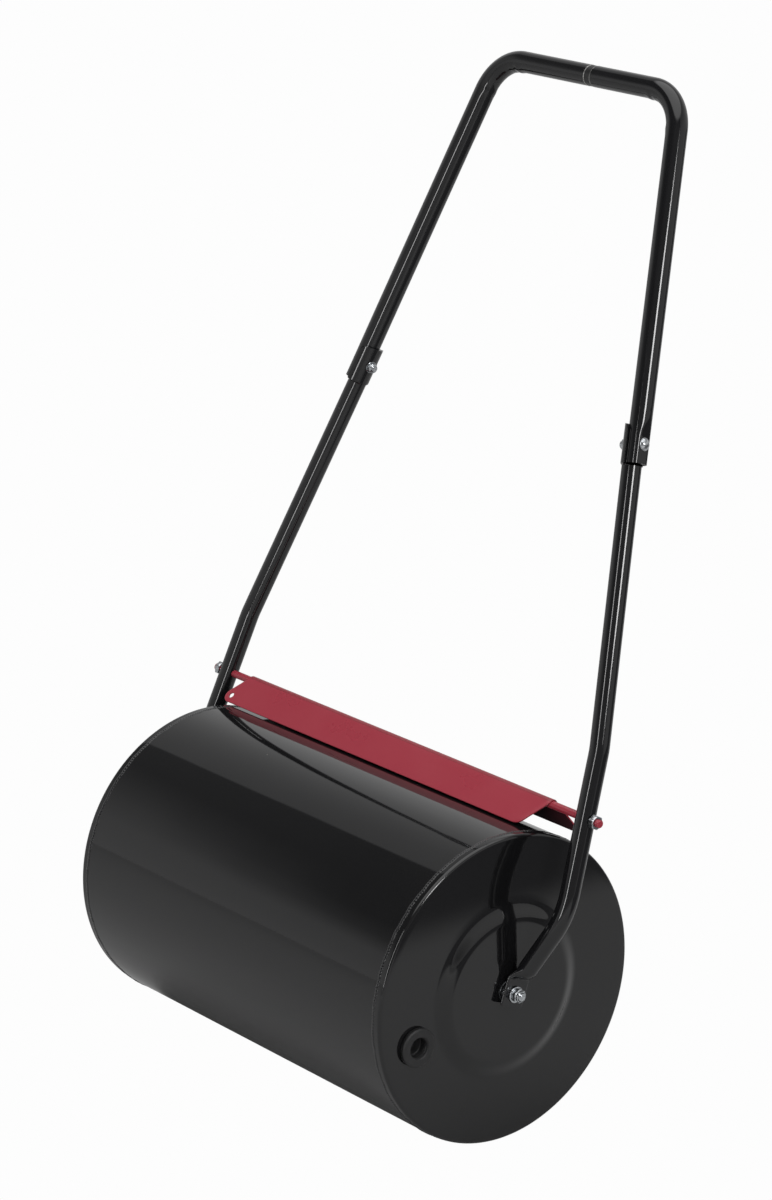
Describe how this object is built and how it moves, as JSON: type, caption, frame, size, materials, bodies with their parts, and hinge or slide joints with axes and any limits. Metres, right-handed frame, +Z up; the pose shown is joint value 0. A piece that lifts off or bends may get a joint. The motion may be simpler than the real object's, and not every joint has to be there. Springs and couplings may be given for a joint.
{
  "type": "lawn roller",
  "caption": "Water-filled steel lawn roller: drum on stub axles between bent tubes, looped push handle, filler plug in an end cap and a folded scraper plate over the drum.",
  "frame": {"origin": "on the ground under the middle of the axle, halfway between the two ends of the drum", "axes": "+X along the axle to the end with the filler plug, +Y backward to the person who pushes, -Y the way the roller is pushed, +Z up"},
  "size_m": [0.6234, 0.4861, 1.0092],
  "materials": {
    "tube_paint": "gloss black powder coat on bent tube",
    "drum_paint": "gloss black enamel on rolled sheet",
    "red_paint": "satin red powder coat",
    "zinc": "bright zinc plating",
    "bare_steel": "bare welded steel inside the drum",
    "plug_rubber": "matte black rubber",
    "connector_plastic": "matte black moulded insert",
    "bush_plastic": "natural nylon bush"
  },
  "bodies": {
    "frame": {"lower_tube_left": "tube_paint", "lower_tube_right": "tube_paint", "handle_left": "tube_paint", "handle_right": "tube_paint", "handle_connector": "connector_plastic", "joint_bolt_left": "zinc", "joint_bolt_right": "zinc", "joint_nut_left": "zinc", "joint_nut_right": "zinc", "axle_bush_left": "bush_plastic", "axle_bush_right": "bush_plastic"},
    "drum": {"drum_shell": "drum_paint", "end_cap_left": "drum_paint", "end_cap_right": "drum_paint", "filler_socket": "drum_paint", "hub_plate_left": "bare_steel", "hub_plate_right": "bare_steel", "axle_bolt_left": "zinc", "axle_bolt_right": "zinc", "axle_spacer_left": "zinc", "axle_spacer_right": "zinc", "axle_washer_left": "zinc", "axle_washer_right": "zinc", "axle_nut_left": "zinc", "axle_nut_right": "zinc"},
    "plug": {"filler_plug": "plug_rubber"},
    "scraper": {"scraper_rod": "red_paint", "scraper_plate": "red_paint", "scraper_nut_left": "zinc", "scraper_nut_right": "zinc"}
  },
  "joints": [
    {"name": "drum_spin", "type": "hinge", "parent": "frame", "child": "drum", "pos_m": [0, 0, 0.16], "axis": [1, 0, 0], "continuous": true},
    {"name": "plug_pull", "type": "slide", "parent": "drum", "child": "plug", "axis": [1, 0, 0], "range_m": [0, 0.04]},
    {"name": "scraper_tilt", "type": "hinge", "parent": "frame", "child": "scraper", "pos_m": [0, 0.06622, 0.33617], "axis": [1, 0, 0], "range_deg": [-18, 2]}
  ]
}
